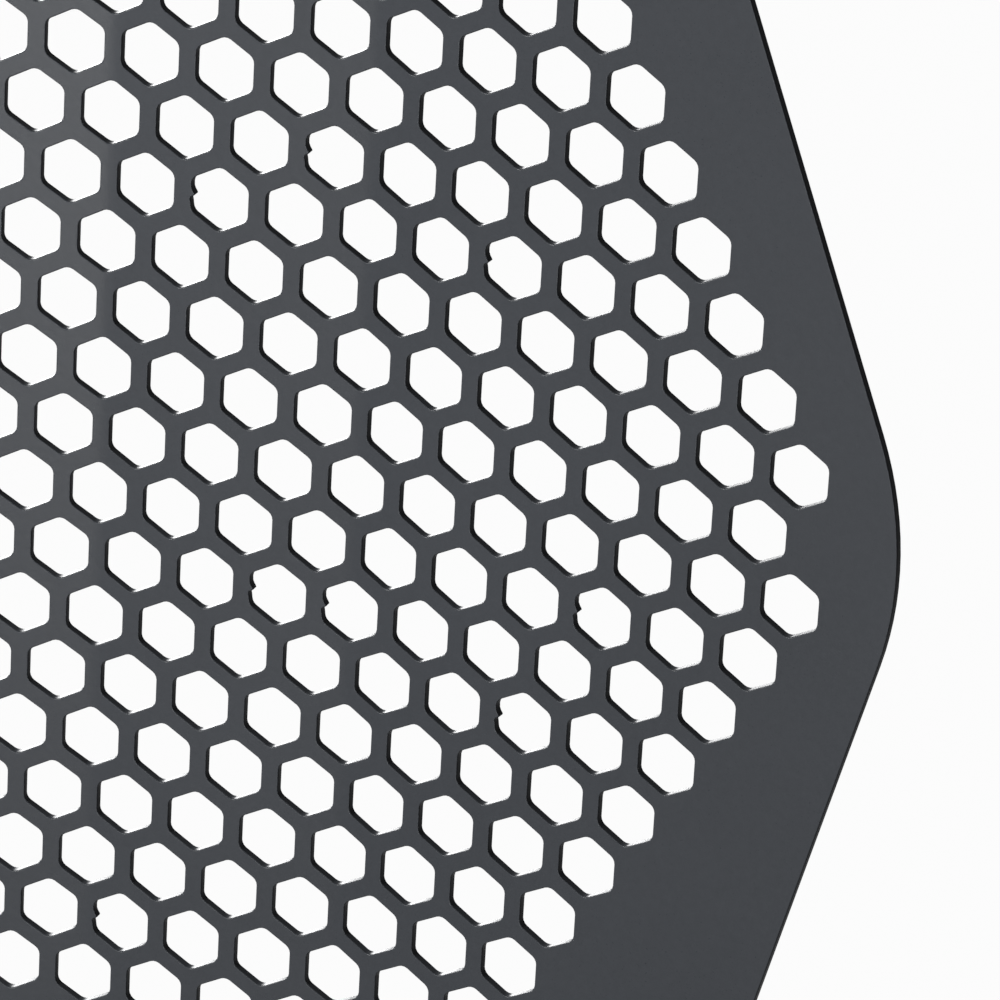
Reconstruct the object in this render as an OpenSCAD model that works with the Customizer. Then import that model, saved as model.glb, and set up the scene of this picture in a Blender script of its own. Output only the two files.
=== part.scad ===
// Radiator guard for a motorcycle: one aluminium sheet, cut with a honeycomb of hexagonal holes
// and folded lightly forward along four upright lines, so that it follows a curved radiator.
// X runs across the machine, Z is up and -Y is the front, which faces the wheel.
// The origin is on the back face, at the middle of the flat middle panel.

/* [Sheet] */
// Thickness of the sheet
sheet_t = 1.5; // [1:0.1:3]
// Height of the sheet from its bottom edge to its top edge
sheet_h = 228; // [200:1:260]
// Width of the flat blank between its side points, measured where the straight sides would meet
sheet_w = 328; // [300:1:380]
// Height of the side points above the middle of the sheet
point_z = 13; // [0:1:30]
// Lean of each side above its point, from upright
upper_lean = 22.3; // [10:0.1:28]
// Lean of each side below its point, from upright
lower_lean = 14.5; // [5:0.1:20]
// Radius that rounds each side point
point_r = 60; // [15:1:80]
// Radius of the corners at the top and bottom edges
corner_r = 12; // [4:1:20]

/* [Folds] */
// Angle of each of the four folds
fold_angle = 6; // [2:0.5:10]
// Inner folds, in hole pitches from the middle of the sheet
inner_fold_at = 2; // [1:0.5:3]
// Outer folds, in hole pitches from the middle of the sheet
outer_fold_at = 5.5; // [4:0.5:7]

/* [Hexagonal holes] */
// Size of each hole across its flats
hole_af = 9.5; // [7:0.5:12]
// Width of the web between two holes
web_w = 3; // [1.5:0.25:4]
// Half the width of the perforated field, measured where the slanted lines of its end holes meet
field_half = 150.5; // [120:0.5:162]
// Least distance from the middle of a hole to the edge of the sheet
hole_edge = 14; // [11:0.5:25]

/* [Fixing holes] */
// Diameter of the four fixing holes, for M6 screws
fixing_d = 6.5; // [4:0.1:9]
// Distance from the middle of a fixing hole to the two edges beside it
fixing_inset = 12.5; // [10:0.5:16]
// Least metal between a fixing hole and a hexagonal hole
fixing_land = 4; // [2:0.5:6]

/* [Hidden] */
coat_colour = "#46494d";
arc_fn = 72;
fixing_fn = 24;
pitch = hole_af + web_w;
row_h = pitch * sin(60);
hole_r = hole_af / 2 / cos(30);
half_h = sheet_h / 2;
half_w = sheet_w / 2;
inner_fold = inner_fold_at * pitch;
outer_fold = outer_fold_at * pitch;
side_point = [half_w, point_z];
point_row_z = round(point_z / row_h) * row_h;
rows = floor(half_h / row_h);
cols = ceil(half_w / pitch);
cut_depth = 3 * sheet_t;
// How far a cutting shape reaches past the sheet
past = 10;
// Two places count as the same within this distance
same = 0.001;
// A round corner's arc is this much fuller than its radius, so that it crosses the sides it rounds
arc_over = 0.002;

// Directions along the sides of the blank, away from the side point
up_side = [-sin(upper_lean), cos(upper_lean)];
down_side = [-sin(lower_lean), -cos(lower_lean)];
top_corner = [side_at(half_h), half_h];
bottom_corner = [side_at(-half_h), -half_h];

// The round corners of a wing, each as [start of its arc, middle of its arc, end of its arc]
top_arc = corner_arc(top_corner, [-1, 0], -up_side, corner_r);
point_arc = corner_arc(side_point, up_side, down_side, point_r);
bottom_arc = corner_arc(bottom_corner, -down_side, [-1, 0], corner_r);
point_reach = norm(point_arc[0] - side_point);

// How far a side is from the middle of the blank at height z, before its point is rounded
function side_at(z) = half_w - abs(z - point_z) * tan(z > point_z ? upper_lean : lower_lean);

// The arc of radius r that rounds a corner between two sides that run from it along a and b
function corner_arc(corner, a, b, r) =
    let (half = acos(a * b) / 2, reach = r / tan(half), inward = (a + b) / norm(a + b))
    [corner + reach * a, corner + r / sin(half) * inward, corner + reach * b];

// Distance from a place on the right half of the blank to its nearest side
function side_gap(place) =
    let (v = place - side_point)
    v * up_side < point_reach && v * down_side < point_reach
        ? point_r - norm(place - point_arc[1])
        : min(
            -v * [cos(upper_lean), sin(upper_lean)],
            -v * [cos(lower_lean), -sin(lower_lean)]
        );

// Middle of the right fixing hole at height z, in from the side that has the given lean
function fixing_at(z, lean) = [side_at(z) - fixing_inset / cos(lean), z];
fixings = [
    fixing_at(half_h - fixing_inset, upper_lean),
    fixing_at(fixing_inset - half_h, lower_lean)
];

// Is there room for a hexagonal hole at this place on the right half?
function has_room(place) =
    place[0] + abs(place[1] - point_row_z) * tan(30) < field_half
    && half_h - abs(place[1]) > hole_edge
    && side_gap(place) > hole_edge
    && min([for (f = fixings) norm(place - f)]) > hole_r + fixing_d / 2 + fixing_land;

// Every second row is moved by half a pitch, so that the holes make a honeycomb
holes = [
    for (row = [-rows : rows], col = [-cols : cols])
        let (s = (col + (row % 2 == 0 ? 0.5 : 0)) * pitch, z = row * row_h)
        if (has_room([abs(s), z])) [s, z]
];

// How many folds lie between the middle and a distance s across the blank, half for one under it
function folds_crossed(s) =
    let (past_folds = [for (f = [inner_fold, outer_fold]) abs(s) - f])
    len([for (p = past_folds) if (p > same) p])
    + len([for (p = past_folds) if (abs(p) <= same) p]) / 2;

// Turn of the sheet there, from above and to the right
function turn(s) = sign(s) * fold_angle * folds_crossed(s);

// Where a distance s across the flat blank comes to lie on the middle surface of the folded sheet
function folded(s) =
    let (
        in_shoulder = max(0, min(abs(s), outer_fold) - inner_fold),
        in_wing = max(0, abs(s) - outer_fold)
    )
    [
        sign(s) * (min(abs(s), inner_fold) + in_shoulder * cos(fold_angle) + in_wing * cos(2 * fold_angle)),
        -sheet_t / 2 - in_shoulder * sin(fold_angle) - in_wing * sin(2 * fold_angle)
    ];

// One face of the folded sheet seen from above, from left to right: side is 1 for the back.
// The folds are so slight that a bend radius would move a face by a hundredth of a millimetre.
function face_line(side) = [
    for (s = [-half_w, -outer_fold, -inner_fold, inner_fold, outer_fold, half_w])
        let (reach = side * sheet_t / 2 / (abs(s) < half_w ? cos(fold_angle / 2) : 1))
        folded(s) + reach * [sin(turn(s)), cos(turn(s))]
];

function reversed(points) = [for (i = [len(points) - 1 : -1 : 0]) points[i]];

// Puts a shape on the folded sheet at a distance s across the blank, with Y through the sheet
module on_sheet(s, z = 0)
    translate([folded(s)[0], folded(s)[1], z])
        rotate([0, 0, -turn(s)])
            children();

// The folded sheet before its sides are cut
module folded_strip()
    translate([0, 0, -half_h])
        linear_extrude(sheet_h)
            polygon(concat(face_line(-1), reversed(face_line(1))));

// The right wing on the flat blank, which runs past the top and bottom edges up to their corners
module wing_outline() {
    polygon([
        [outer_fold, half_h + past],
        [top_arc[0][0], half_h + past],
        for (arc = [top_arc, point_arc, bottom_arc]) each [arc[0], arc[2]],
        [bottom_arc[2][0], -half_h - past],
        [outer_fold, -half_h - past]
    ]);
    for (arc = [top_arc, point_arc, bottom_arc])
        translate(arc[1])
            circle(r = norm(arc[0] - arc[1]) + arc_over, $fn = arc_fn);
}

// What is cut away around the right wing, flat in the plane of X and Y
module beyond_wing()
    difference() {
        translate([outer_fold + past, -half_h - past])
            square([half_w - outer_fold, sheet_h + 2 * past]);
        wing_outline();
    }

// Stands a flat shape of the blank up on the right wing, deep enough to cut through the sheet
module through_wing()
    on_sheet(half_w)
        rotate([90, 0, 0])
            translate([-half_w, 0, -cut_depth / 2])
                linear_extrude(cut_depth)
                    children();

module hexagonal_hole(place)
    on_sheet(place[0], place[1])
        rotate([90, 30, 0])
            cylinder(r = hole_r, h = cut_depth, center = true, $fn = 6);

module fixing_hole(place)
    on_sheet(place[0], place[1])
        rotate([90, 0, 0])
            cylinder(d = fixing_d, h = cut_depth, center = true, $fn = fixing_fn);

module guard_sheet() {
    color(coat_colour)
        difference() {
            folded_strip();
            for (side = [0, 1])
                mirror([side, 0, 0]) {
                    through_wing()
                        beyond_wing();
                    for (place = fixings)
                        fixing_hole(place);
                }
            for (place = holes)
                hexagonal_hole(place);
        }
}

guard_sheet();
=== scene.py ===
"""Radiator guard for a motorcycle: one sheet of aluminium, laser cut with a honeycomb of
holes, folded lightly forward along four upright lines and powder coated. The sheet is cut
flat, as the real one is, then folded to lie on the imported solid. A plain stage and the
photograph's camera come with it."""

import math

import bmesh
import bpy
from bmesh.types import BMFace, BMVert
from bpy.props import (
    FloatProperty,
    FloatVectorProperty,
    IntProperty,
    PointerProperty,
)
from mathutils import Matrix, Vector


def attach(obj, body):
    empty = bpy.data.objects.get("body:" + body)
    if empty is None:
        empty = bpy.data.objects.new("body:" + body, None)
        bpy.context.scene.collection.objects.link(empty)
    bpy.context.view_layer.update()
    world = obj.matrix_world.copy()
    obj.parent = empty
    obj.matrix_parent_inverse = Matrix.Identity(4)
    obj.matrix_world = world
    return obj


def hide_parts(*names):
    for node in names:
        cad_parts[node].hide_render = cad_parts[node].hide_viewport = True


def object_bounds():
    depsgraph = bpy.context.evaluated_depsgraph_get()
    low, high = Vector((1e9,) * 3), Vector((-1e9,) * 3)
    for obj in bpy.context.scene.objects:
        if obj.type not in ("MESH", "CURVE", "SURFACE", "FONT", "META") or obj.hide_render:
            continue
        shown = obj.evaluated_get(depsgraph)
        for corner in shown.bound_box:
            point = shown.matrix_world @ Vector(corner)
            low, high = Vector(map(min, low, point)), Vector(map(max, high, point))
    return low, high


bl_info = {
    "name": "Motorcycle radiator guard",
    "version": (1, 0, 0),
    "blender": (4, 5, 0),
    "location": "View3D > Sidebar > Guard",
    "description": "Makes a folded honeycomb guard sheet and a plain stage for it",
    "category": "Object",
}

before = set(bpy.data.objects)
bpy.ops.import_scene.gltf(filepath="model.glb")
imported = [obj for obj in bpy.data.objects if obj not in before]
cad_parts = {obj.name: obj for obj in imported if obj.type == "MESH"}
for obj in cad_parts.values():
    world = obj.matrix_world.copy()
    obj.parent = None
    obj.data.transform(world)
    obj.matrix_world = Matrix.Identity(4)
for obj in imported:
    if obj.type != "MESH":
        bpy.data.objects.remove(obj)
cad_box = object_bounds()
NODE = "guard_sheet"
BODY = "root"
# Two vertices nearer than this are one, in metres
SAME_PLACE = 1e-6
# A vertex this near to a fold's line lies on it, in metres
ON_LINE = 1e-7
# Width of the camera's sensor in millimetres, and how near and far it sees in metres
SENSOR_WIDTH = 36
NEAREST, FARTHEST = 0.01, 50


# The sizes of the sheet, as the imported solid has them


def length(name, description, millimetres):
    """A length property, written in millimetres and kept in metres."""
    return FloatProperty(
        name=name,
        description=description,
        default=millimetres / 1000,
        min=0,
        precision=5,
        subtype="DISTANCE",
        unit="LENGTH",
    )


def angle(name, description, degrees):
    """An angle property, written in degrees and kept in radians."""
    return FloatProperty(
        name=name,
        description=description,
        default=math.radians(degrees),
        subtype="ANGLE",
        unit="ROTATION",
    )


def plain(name, description, default, top=1000):
    """A plain number that isn't below zero."""
    return FloatProperty(
        name=name, description=description, default=default, min=0, max=top
    )


def count(name, description, default):
    """A whole number from one up."""
    return IntProperty(
        name=name, description=description, default=default, min=1, max=64
    )


def spot(name, description, metres):
    """A place in the frame, in metres."""
    return FloatVectorProperty(
        name=name,
        description=description,
        default=metres,
        precision=5,
        subtype="TRANSLATION",
        unit="LENGTH",
    )


def colour(name, description, linear):
    """A colour property in linear light."""
    return FloatVectorProperty(
        name=name,
        description=description,
        default=linear,
        subtype="COLOR",
        min=0,
        max=1,
    )


class BlankSizes(bpy.types.PropertyGroup):
    """The flat blank and how it is folded."""

    thickness: length("Thickness", "Thickness of the sheet", 1.5)
    height: length("Height", "From the bottom edge to the top edge", 228)
    width: length("Width", "Between the sharp side points of the flat blank", 328)
    point_height: length("Point height", "Of the side points above the middle", 13)
    upper_lean: angle("Upper lean", "Of each side above its point, from upright", 22.3)
    lower_lean: angle("Lower lean", "Of each side below its point, from upright", 14.5)
    point_radius: length("Point radius", "Rounds each side point", 60)
    point_steps: count("Point steps", "Short lines that round each side point", 14)
    corner_radius: length("Corner radius", "Rounds the top and bottom corners", 12)
    corner_steps: count("Corner steps", "Short lines that round each corner", 10)
    fold_angle: angle("Fold angle", "Of each of the four folds", 6)
    inner_fold: length("Inner folds", "From the middle of the blank", 25)
    outer_fold: length("Outer folds", "From the middle of the blank", 68.75)
    fold_steps: count("Fold steps", "How many small turns make up each fold", 3)
    fold_pitch: length("Fold pitch", "Between two small turns of a fold", 0.8)


class HoleSizes(bpy.types.PropertyGroup):
    """The honeycomb of holes and the fixing holes."""

    across: length("Across flats", "Size of a hexagonal hole", 9.5)
    web: length("Web", "Width of the metal between two holes", 3)
    field_half: length("Field", "Half the width of the honeycomb at its tips", 150.5)
    edge_gap: length("Edge gap", "Least distance from a hole's middle to an edge", 14)
    hole_corner: length("Hole corner", "How much of a side its round corner takes", 0.85)
    hole_corner_steps: count("Hole corner steps", "Short lines that round it", 3)
    fixing_diameter: length("Fixing holes", "Diameter, for M6 screws", 6.5)
    fixing_sides: count("Fixing hole sides", "Short lines round a fixing hole", 32)
    fixing_inset: length("Fixing inset", "From the two edges beside a fixing hole", 12.5)
    fixing_land: length("Fixing land", "Least metal round a fixing hole", 4)
    rim: length("Rim", "Width of the rounding that the coat gives each edge", 0.22)
    burr: length("Burr", "How far a burr of the laser's cut stands out", 0.6)


class CoatLook(bpy.types.PropertyGroup):
    """The powder coat."""

    dark: colour("Dark tone", "Where the coat looks darkest", (0.0545, 0.0590, 0.0668))
    light: colour("Light tone", "Where it looks lightest", (0.0648, 0.0700, 0.0792))
    roughness: plain("Roughness", "Of the satin coat", 0.32, 1)
    gloss: plain("Gloss", "Specular level of the coat", 0.25, 1)
    cloud: length("Cloud size", "Of the slow changes of tone", 60)
    peel: length("Peel size", "Width of the ripples in the coat", 1.3)
    grain: length("Grain size", "Width of the coat's fine grain", 0.3)
    relief: length("Relief", "Height of the ripples in the coat", 0.02)


class StageSizes(bpy.types.PropertyGroup):
    """The floor, the light and the photograph's camera."""

    floor_drop: length("Floor", "Below the lowest point of the guard", 1000)
    floor_side: length("Floor side", "Length of the floor's sides", 9000)
    floor_tone: colour("Floor tone", "Colour of the pale floor", (0.82, 0.82, 0.82))
    floor_white: plain("Floor white", "Share of it that no shadow dims", 0.97, 1)
    far_tone: colour("Far tone", "Seen past the floor's edge", (0.974, 0.974, 0.974))
    ambient: plain("Ambient", "Strength of the light from all round", 0.04)
    mirrored: plain("Mirrored", "Share of the background that the coat shows", 0.1, 1)
    low_power: plain("Low lamp", "Power in watts of the lamp low in front", 6.0)
    low_side: length("Low lamp's side", "Length of its sides", 400)
    low_place: spot("Low lamp's place", "Its middle", (-0.375, -1.7, -0.487))
    key_power: plain("Key lamp", "Power in watts of the lamp above on the left", 6.3)
    key_side: length("Key lamp's side", "Length of its sides", 300)
    key_place: spot("Key lamp's place", "Its middle", (-0.45, -0.5, 0.35))
    back_power: plain("Back lamp", "Power in watts of the lamp behind", 10.8)
    back_side: length("Back lamp's side", "Length of its sides", 600)
    back_place: spot("Back lamp's place", "Its middle", (-0.6, 0.9, 0.1))
    lamp_aim: spot("Lamps' aim", "Where all the lamps point", (0.05, 0, 0))
    lens: FloatProperty(
        name="Lens",
        description="Focal length on a sensor 36 mm wide",
        default=270.52,
        subtype="DISTANCE_CAMERA",
    )
    azimuth: angle("Azimuth", "Of the camera, to the right of the front", 14.537)
    elevation: angle("Elevation", "Of the camera above the horizon", 25.334)
    roll: angle("Roll", "Of the camera about its own line of sight", 3.278)
    distance: length("Distance", "From the camera to where it looks", 1151.7)
    target: spot("Target", "Where the camera looks", (0.09387, -0.015, 0.00629))


# Shader maths as plain expressions


class Field:
    """A number that changes over a surface. Arithmetic on it adds Math nodes."""

    def __init__(self, tree, socket):
        self.tree = tree
        self.socket = socket

    def _math(self, operation, first, second):
        node = self.tree.nodes.new("ShaderNodeMath")
        node.operation = operation
        for slot, value in zip(node.inputs, (first, second)):
            if isinstance(value, Field):
                self.tree.links.new(value.socket, slot)
            else:
                slot.default_value = value
        return Field(self.tree, node.outputs[0])

    def __add__(self, other):
        return self._math("ADD", self, other)

    def __radd__(self, other):
        return self._math("ADD", other, self)

    def __sub__(self, other):
        return self._math("SUBTRACT", self, other)

    def __rsub__(self, other):
        return self._math("SUBTRACT", other, self)

    def __mul__(self, other):
        return self._math("MULTIPLY", self, other)

    def __rmul__(self, other):
        return self._math("MULTIPLY", other, self)


class Tree:
    """The nodes of one material or of the world."""

    def __init__(self, owner):
        owner.use_nodes = True
        self.tree = owner.node_tree
        self.tree.nodes.clear()

    def node(self, kind, settings=None, sockets=None, output=0):
        """Adds a node: first its settings, then the values or links of its sockets."""
        made = self.tree.nodes.new(kind)
        for name, value in (settings or {}).items():
            setattr(made, name, value)
        for name, value in (sockets or {}).items():
            if isinstance(value, Field):
                self.tree.links.new(value.socket, made.inputs[name])
            else:
                made.inputs[name].default_value = value
        return Field(self.tree, made.outputs[output]) if made.outputs else made


def powder_coat(look):
    """Satin dark grey powder coat: soft clouds of tone, ripples and a finer grain."""
    material = bpy.data.materials.new("powder_coat")
    tree = Tree(material)
    place = tree.node("ShaderNodeTexCoord", output="Object")

    def noise(size, detail):
        return tree.node(
            "ShaderNodeTexNoise",
            sockets={"Vector": place, "Scale": 1 / size, "Detail": detail},
            output="Fac",
        )

    clouds = noise(look.cloud, 3)
    ripples = noise(look.peel, 1)
    grain = noise(look.grain, 1)
    # Each noise lies about a half, and the last number brings the mix back there
    tone = clouds * 0.9 + ripples * 0.7 + grain * 0.6 - 0.6
    base = tree.node(
        "ShaderNodeMix",
        {"data_type": "RGBA", "clamp_factor": True},
        {0: tone, 6: (*look.dark, 1), 7: (*look.light, 1)},
        output=2,
    )
    height = ripples * 0.75 + grain * 0.25
    normal = tree.node(
        "ShaderNodeBump",
        sockets={"Strength": 1.0, "Distance": look.relief, "Height": height},
    )
    # The roughness varies about the one that is set
    roughness = grain * 0.16 + clouds * 0.08 + (look.roughness - 0.12)
    shader = tree.node(
        "ShaderNodeBsdfPrincipled",
        sockets={
            "Base Color": base,
            "Roughness": roughness,
            "Specular IOR Level": look.gloss,
            "Normal": normal,
        },
    )
    tree.node("ShaderNodeOutputMaterial", sockets={"Surface": shader})
    return material


# The sheet is drawn flat with X across it, Y up it and its front towards Z


def only(kind, geometry):
    """The vertices or the faces among mixed geometry."""
    return [item for item in geometry if isinstance(item, kind)]


def side_at(sizes, up):
    """How far a straight side is from the middle of the blank at height up."""
    rise = up - sizes.point_height
    lean = sizes.upper_lean if rise > 0 else sizes.lower_lean
    return sizes.width / 2 - abs(rise) * math.tan(lean)


def side_directions(sizes):
    """The directions along a right-hand side, up and down from its point."""
    return (
        Vector((-math.sin(sizes.upper_lean), math.cos(sizes.upper_lean))),
        Vector((-math.sin(sizes.lower_lean), -math.cos(sizes.lower_lean))),
    )


def corner_arc(corner, along, onward, radius):
    """The arc that rounds a corner: its reach along the sides, its middle and the
    corner's half angle."""
    half = along.angle(onward) / 2
    middle = corner + (along + onward).normalized() * (radius / math.sin(half))
    return radius / math.tan(half), middle, half


def round_corner(bm, corner, along, onward, radius, steps):
    """Spins one vertex round a corner of the outline and returns the arc's two ends."""
    reach, middle, half = corner_arc(corner, along, onward, radius)
    turn = math.copysign(math.pi - 2 * half, along.cross(onward))
    first = bm.verts.new((*(corner + along * reach), 0))
    spun = bmesh.ops.spin(
        bm,
        geom=[first],
        cent=(*middle, 0),
        axis=(0, 0, 1),
        angle=-turn,
        steps=steps,
    )
    return first, only(BMVert, spun["geom_last"])[0]


def draw_outline(bm, sizes):
    """The blank's outline: straight sides between six round corners."""
    up_side, down_side = side_directions(sizes)
    half = sizes.height / 2
    left, mirrored = Vector((-1, 0)), Vector((-1, 1))
    top = Vector((side_at(sizes, half), half))
    point = Vector((sizes.width / 2, sizes.point_height))
    bottom = Vector((side_at(sizes, -half), -half))
    corner_round = sizes.corner_radius, sizes.corner_steps
    point_round = sizes.point_radius, sizes.point_steps
    right_hand = [
        (top, left, -up_side, *corner_round),
        (point, up_side, down_side, *point_round),
        (bottom, -down_side, left, *corner_round),
    ]
    left_hand = [
        (corner * mirrored, onward * mirrored, along * mirrored, *rounding)
        for corner, along, onward, *rounding in reversed(right_hand)
    ]
    arcs = [round_corner(bm, *corner) for corner in right_hand + left_hand]
    for (_, end), (start, _) in zip(arcs, arcs[1:] + arcs[:1]):
        bm.edges.new((end, start))


def fixing_places(sizes, holes):
    """The middles of the two fixing holes on the right half."""
    reach = sizes.height / 2 - holes.fixing_inset
    return [
        Vector((side_at(sizes, up) - holes.fixing_inset / math.cos(lean), up))
        for up, lean in ((reach, sizes.upper_lean), (-reach, sizes.lower_lean))
    ]


def side_gap(sizes, place):
    """Distance from a place on the right half to its nearest side."""
    up_side, down_side = side_directions(sizes)
    corner = Vector((sizes.width / 2, sizes.point_height))
    reach, middle, _ = corner_arc(corner, up_side, down_side, sizes.point_radius)
    away = place - corner
    if away.dot(up_side) < reach and away.dot(down_side) < reach:
        return sizes.point_radius - (place - middle).length
    return min(
        -away.dot(Vector((math.cos(sizes.upper_lean), math.sin(sizes.upper_lean)))),
        -away.dot(Vector((math.cos(sizes.lower_lean), -math.sin(sizes.lower_lean)))),
    )


def hole_radius(holes):
    """From the middle of a hexagonal hole to its corners."""
    return holes.across / 2 / math.cos(math.pi / 6)


def honeycomb(sizes, holes):
    """Row, column and place of each hole: every second row moves half a pitch."""
    pitch = holes.across + holes.web
    row_height = pitch * math.sin(math.pi / 3)
    point_row = round(sizes.point_height / row_height) * row_height
    clear = hole_radius(holes) + holes.fixing_diameter / 2 + holes.fixing_land
    fixings = fixing_places(sizes, holes)
    rows = int(sizes.height / 2 / row_height)
    columns = math.ceil(sizes.width / 2 / pitch)
    for row in range(-rows, rows + 1):
        for column in range(-columns, columns + 1):
            across = (column + (0.5 if row % 2 == 0 else 0)) * pitch
            up = row * row_height
            place = Vector((abs(across), up))
            slanted = place.x + abs(up - point_row) * math.tan(math.pi / 6)
            if (
                slanted < holes.field_half
                and sizes.height / 2 - abs(up) > holes.edge_gap
                and side_gap(sizes, place) > holes.edge_gap
                and min((place - fixing).length for fixing in fixings) > clear
            ):
                yield row, column, Vector((across, up))


# Row and column of each hole whose left wall carries a burr, where the cut began
BURRED = {(4, 3), (5, 5), (4, 7), (-2, 4), (-2, 5), (-1, 9), (-3, 8), (-8, 2)}
# A burr from the top of its wall down: how far down the wall, and its height as a share
BURR_LINE = (
    (0.20, 0.05),
    (0.34, 0.42),
    (0.44, 0.86),
    (0.50, 1.00),
    (0.56, 0.62),
    (0.63, -0.10),
    (0.72, -0.28),
    (0.86, -0.10),
)


def cut_burr(bm, face, height):
    """Draws a burr into the left wall of a hexagonal hole."""
    wall = min(face.edges, key=lambda e: e.verts[0].co.x + e.verts[1].co.x)
    top, bottom = sorted((v.co.copy() for v in wall.verts), key=lambda co: -co.y)
    cut = bmesh.ops.subdivide_edges(bm, edges=[wall], cuts=len(BURR_LINE))
    points = sorted(only(BMVert, cut["geom_inner"]), key=lambda v: -v.co.y)
    for point, (down, share) in zip(points, BURR_LINE):
        point.co = top.lerp(bottom, down) + Vector((share * height, 0, 0))


def draw_hole(bm, place, radius, sides):
    """A hole as a flat face, and returns its vertices."""
    return bmesh.ops.create_circle(
        bm,
        cap_ends=True,
        segments=sides,
        radius=radius,
        matrix=Matrix.Translation((*place, 0)),
    )["verts"]


def draw_holes(bm, sizes, holes):
    """The hexagonal holes with their round corners, and the fixing holes."""
    corners, burred = [], []
    for row, column, place in honeycomb(sizes, holes):
        corners += draw_hole(bm, place, hole_radius(holes), 6)
        if (row, column) in BURRED:
            burred.append(place)
    bmesh.ops.bevel(
        bm,
        geom=corners,
        offset=holes.hole_corner,
        offset_type="OFFSET",
        segments=holes.hole_corner_steps,
        profile=0.5,
        affect="VERTICES",
        material=-1,
    )
    for place in burred:
        face = min(bm.faces, key=lambda f: (f.calc_center_median().xy - place).length)
        cut_burr(bm, face, holes.burr)
    for place in fixing_places(sizes, holes):
        for side in (1, -1):
            middle = place * Vector((side, 1))
            draw_hole(bm, middle, holes.fixing_diameter / 2, holes.fixing_sides)
    bmesh.ops.delete(bm, geom=bm.faces[:], context="FACES_ONLY")


def give_thickness(bm, thickness, rim):
    """Turns the flat drawing into a sheet with round rims. Returns the rims' tag."""
    bmesh.ops.triangle_fill(bm, use_beauty=True, use_dissolve=False, edges=bm.edges[:])
    bmesh.ops.recalc_face_normals(bm, faces=bm.faces[:])
    if bm.faces[0].normal.z < 0:
        bmesh.ops.reverse_faces(bm, faces=bm.faces[:])
    is_rim = bm.faces.layers.int.new("rim")
    ring = bmesh.ops.inset_region(
        bm,
        faces=bm.faces[:],
        use_boundary=True,
        use_even_offset=True,
        thickness=rim,
    )["faces"]
    for face in ring:
        face[is_rim] = 1
    edge = [e for e in bm.edges if e.is_boundary]
    edge_verts = list({v for e in edge for v in e.verts})
    bmesh.ops.translate(bm, verts=bm.verts[:], vec=(0, 0, thickness / 2))
    bmesh.ops.translate(bm, verts=edge_verts, vec=(0, 0, -rim))
    front = bm.verts[:] + bm.edges[:] + bm.faces[:]
    back = bmesh.ops.duplicate(bm, geom=front)["geom"]
    bmesh.ops.scale(bm, verts=only(BMVert, back), vec=(1, 1, -1))
    bmesh.ops.reverse_faces(bm, faces=only(BMFace, back))
    wall = bmesh.ops.extrude_edge_only(bm, edges=edge)["geom"]
    bmesh.ops.translate(
        bm, verts=only(BMVert, wall), vec=(0, 0, 2 * rim - thickness)
    )
    for face in only(BMFace, wall):
        face[is_rim] = 0
    bmesh.ops.remove_doubles(bm, verts=bm.verts[:], dist=SAME_PLACE)
    return is_rim


def fold(bm, sizes):
    """Folds the sheet forward along its upright lines, from the sides inwards."""
    steps = sizes.fold_steps
    turn = sizes.fold_angle / steps
    for line in (sizes.outer_fold, sizes.inner_fold):
        for step in reversed(range(steps)):
            at = line + (step - (steps - 1) / 2) * sizes.fold_pitch
            for side in (1, -1):
                bmesh.ops.bisect_plane(
                    bm,
                    geom=bm.verts[:] + bm.edges[:] + bm.faces[:],
                    dist=ON_LINE,
                    plane_co=(side * at, 0, 0),
                    plane_no=(side, 0, 0),
                )
                bmesh.ops.rotate(
                    bm,
                    verts=[v for v in bm.verts if side * v.co.x > at + SAME_PLACE],
                    cent=(side * at, 0, 0),
                    matrix=Matrix.Rotation(-side * turn, 3, "Y"),
                )


def stand_up(bm, thickness):
    """Stands the folded sheet up, with the back of its middle panel on Y = 0."""
    upright = Matrix.Rotation(math.pi / 2, 4, "X")
    place = Matrix.Translation((0, -thickness / 2, 0))
    bmesh.ops.transform(bm, matrix=place @ upright, verts=bm.verts[:])
    bm.normal_update()


def put_in_order(bm):
    """Sorts the vertices by place, and the faces by theirs, so that every run agrees."""
    for index, vert in enumerate(sorted(bm.verts, key=lambda v: v.co[:])):
        vert.index = index
    bm.verts.sort()
    corners = {face: sorted(v.index for v in face.verts) for face in bm.faces}
    for index, face in enumerate(sorted(bm.faces, key=corners.get)):
        face.index = index
    bm.faces.sort()


def rim_normals(bm, is_rim):
    """Normals that shade each rim from the flat face beside it to the wall beside it."""
    normals = []
    for vert in bm.verts:
        beside = [f.normal for f in vert.link_faces if not f[is_rim]]
        normals.append(sum(beside, Vector()).normalized())
    return normals


class GUARD_OT_sheet(bpy.types.Operator):
    """Cut, fold and coat the guard's sheet"""

    bl_idname = "guard.sheet"
    bl_label = "Guard Sheet"

    def execute(self, context):
        scene = context.scene
        sizes, holes = scene.guard_blank, scene.guard_holes
        bm = bmesh.new()
        draw_holes(bm, sizes, holes)
        draw_outline(bm, sizes)
        is_rim = give_thickness(bm, sizes.thickness, holes.rim)
        fold(bm, sizes)
        stand_up(bm, sizes.thickness)
        put_in_order(bm)
        normals = rim_normals(bm, is_rim)
        for face in bm.faces:
            face.smooth = True
        mesh = bpy.data.meshes.new("guard")
        bm.to_mesh(mesh)
        bm.free()
        mesh.normals_split_custom_set_from_vertices(normals)
        mesh.materials.append(powder_coat(scene.guard_coat))
        guard = bpy.data.objects.new("guard", mesh)
        scene.collection.objects.link(guard)
        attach(guard, BODY)
        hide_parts(NODE)
        return {"FINISHED"}


# The stage


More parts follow.
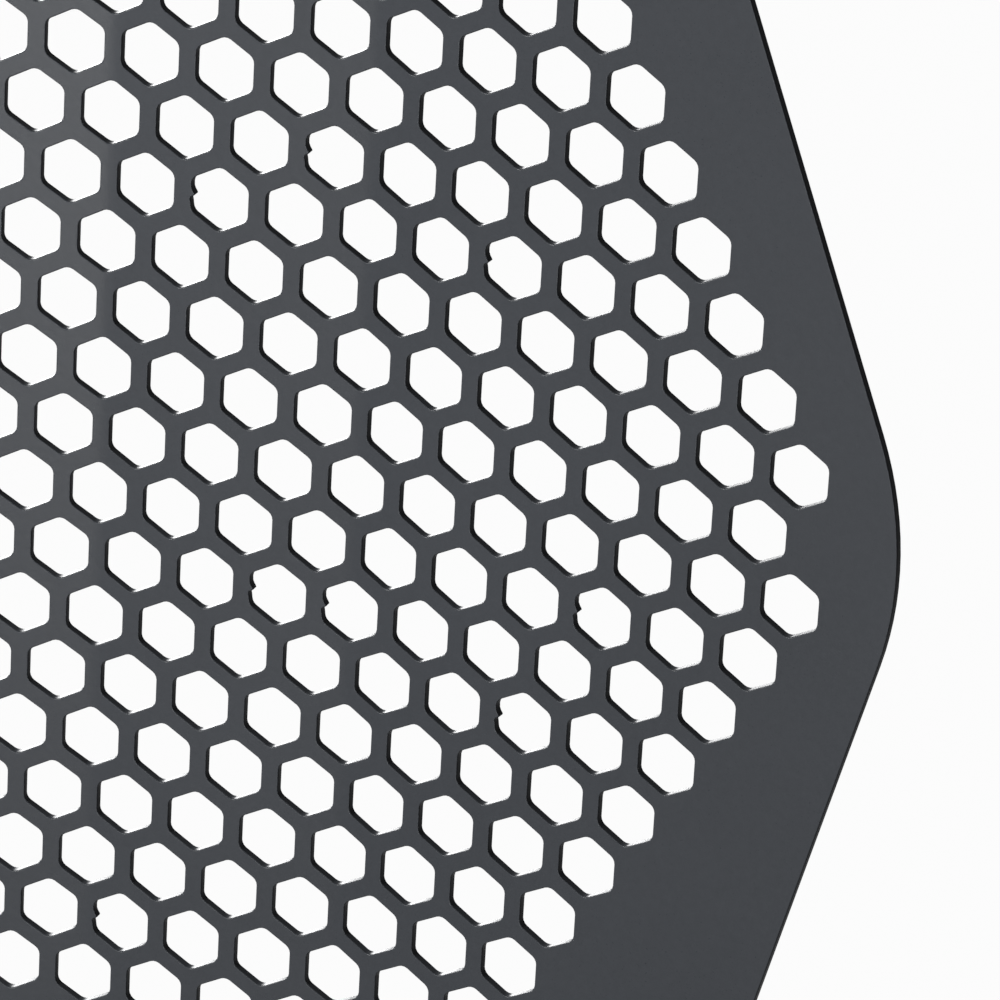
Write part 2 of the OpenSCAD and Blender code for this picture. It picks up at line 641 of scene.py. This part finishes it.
def pale_background(tree, mirrored, lit, seen, most=1.0):
    """Mixes two shaders: one that light falls on, and one seen behind the guard."""
    camera, glossy, clear = (
        tree.node("ShaderNodeLightPath", output=name)
        for name in ("Is Camera Ray", "Is Glossy Ray", "Is Transmission Ray")
    )
    factor = (camera + clear + glossy * mirrored) * most
    return tree.node("ShaderNodeMixShader", sockets={0: factor, 1: lit, 2: seen})


def pale_floor(scene, stage, level):
    """A wide floor that looks almost white and keeps a faint shadow."""
    material = bpy.data.materials.new("pale_floor")
    tree = Tree(material)
    matt = tree.node(
        "ShaderNodeBsdfDiffuse", sockets={"Color": (*stage.floor_tone, 1)}
    )
    white = tree.node("ShaderNodeEmission", sockets={"Strength": 1.0})
    shader = pale_background(tree, stage.mirrored, matt, white, stage.floor_white)
    tree.node("ShaderNodeOutputMaterial", sockets={"Surface": shader})

    bm = bmesh.new()
    bmesh.ops.create_grid(
        bm,
        x_segments=1,
        y_segments=1,
        size=stage.floor_side / 2,
        matrix=Matrix.Translation((0, 0, level)),
    )
    mesh = bpy.data.meshes.new("floor")
    bm.to_mesh(mesh)
    bm.free()
    mesh.materials.append(material)
    floor = bpy.data.objects.new("floor", mesh)
    scene.collection.objects.link(floor)


def pale_world(scene, stage):
    """Dim light from all round, behind which the camera sees the floor's own white."""
    world = bpy.data.worlds.new("studio")
    scene.world = world
    tree = Tree(world)
    dim = tree.node("ShaderNodeBackground", sockets={"Strength": stage.ambient})
    far = tree.node("ShaderNodeBackground", sockets={"Color": (*stage.far_tone, 1)})
    shader = pale_background(tree, stage.mirrored, dim, far)
    tree.node("ShaderNodeOutputWorld", sockets={"Surface": shader})


def soft_lamp(scene, name, place, towards, side, power):
    """A square lamp that isn't seen itself."""
    data = bpy.data.lights.new(name, "AREA")
    data.shape = "SQUARE"
    data.size = side
    data.energy = power
    lamp = bpy.data.objects.new(name, data)
    lamp.location = place
    aim = Vector(towards) - Vector(place)
    lamp.rotation_euler = aim.to_track_quat("-Z", "Y").to_euler()
    lamp.visible_camera = False
    scene.collection.objects.link(lamp)


def photo_camera(scene, stage):
    """The photograph's camera: right of the front and above it, with a long lens."""
    data = bpy.data.cameras.new("camera")
    data.lens = stage.lens
    data.sensor_width = SENSOR_WIDTH
    data.clip_start, data.clip_end = NEAREST, FARTHEST
    camera = bpy.data.objects.new("camera", data)
    back = Vector(
        (
            math.sin(stage.azimuth) * math.cos(stage.elevation),
            -math.cos(stage.azimuth) * math.cos(stage.elevation),
            math.sin(stage.elevation),
        )
    )
    right = Vector((math.cos(stage.azimuth), math.sin(stage.azimuth), 0))
    level = Matrix((right, back.cross(right), back)).transposed()
    turned = level @ Matrix.Rotation(stage.roll, 3, "Z")
    place = Matrix.Translation(stage.target + back * stage.distance)
    camera.matrix_world = place @ turned.to_4x4()
    scene.collection.objects.link(camera)
    scene.camera = camera


class GUARD_OT_stage(bpy.types.Operator):
    """Add the pale floor, the soft light and the photograph's camera"""

    bl_idname = "guard.stage"
    bl_label = "Stage"

    def execute(self, context):
        scene = context.scene
        stage = scene.guard_stage
        scene.view_settings.view_transform = "Standard"
        lowest = cad_box[0].z
        pale_floor(scene, stage, lowest - stage.floor_drop)
        pale_world(scene, stage)
        for name in ("low", "key", "back"):
            place, side, power = (
                getattr(stage, f"{name}_{setting}")
                for setting in ("place", "side", "power")
            )
            soft_lamp(scene, f"{name}_lamp", place, stage.lamp_aim, side, power)
        photo_camera(scene, stage)
        return {"FINISHED"}


class GUARD_PT_panel(bpy.types.Panel):
    """Lists the guard's operators and sizes in the sidebar"""

    bl_idname = "GUARD_PT_panel"
    bl_label = "Radiator Guard"
    bl_space_type = "VIEW_3D"
    bl_region_type = "UI"
    bl_category = "Guard"

    def draw(self, context):
        scene = context.scene
        for operator, groups in (
            (GUARD_OT_sheet, (scene.guard_blank, scene.guard_holes, scene.guard_coat)),
            (GUARD_OT_stage, (scene.guard_stage,)),
        ):
            box = self.layout.box()
            box.operator(operator.bl_idname)
            for group in groups:
                for name in group.__annotations__:
                    box.prop(group, name)


GROUPS = {
    "guard_blank": BlankSizes,
    "guard_holes": HoleSizes,
    "guard_coat": CoatLook,
    "guard_stage": StageSizes,
}
CLASSES = (*GROUPS.values(), GUARD_OT_sheet, GUARD_OT_stage, GUARD_PT_panel)


def register():
    for cls in CLASSES:
        bpy.utils.register_class(cls)
    for name, group in GROUPS.items():
        setattr(bpy.types.Scene, name, PointerProperty(type=group))


def unregister():
    for name in GROUPS:
        delattr(bpy.types.Scene, name)
    for cls in reversed(CLASSES):
        bpy.utils.unregister_class(cls)


def main():
    register()
    bpy.ops.guard.stage()
    bpy.ops.guard.sheet()


if __name__ == "__main__":
    main()
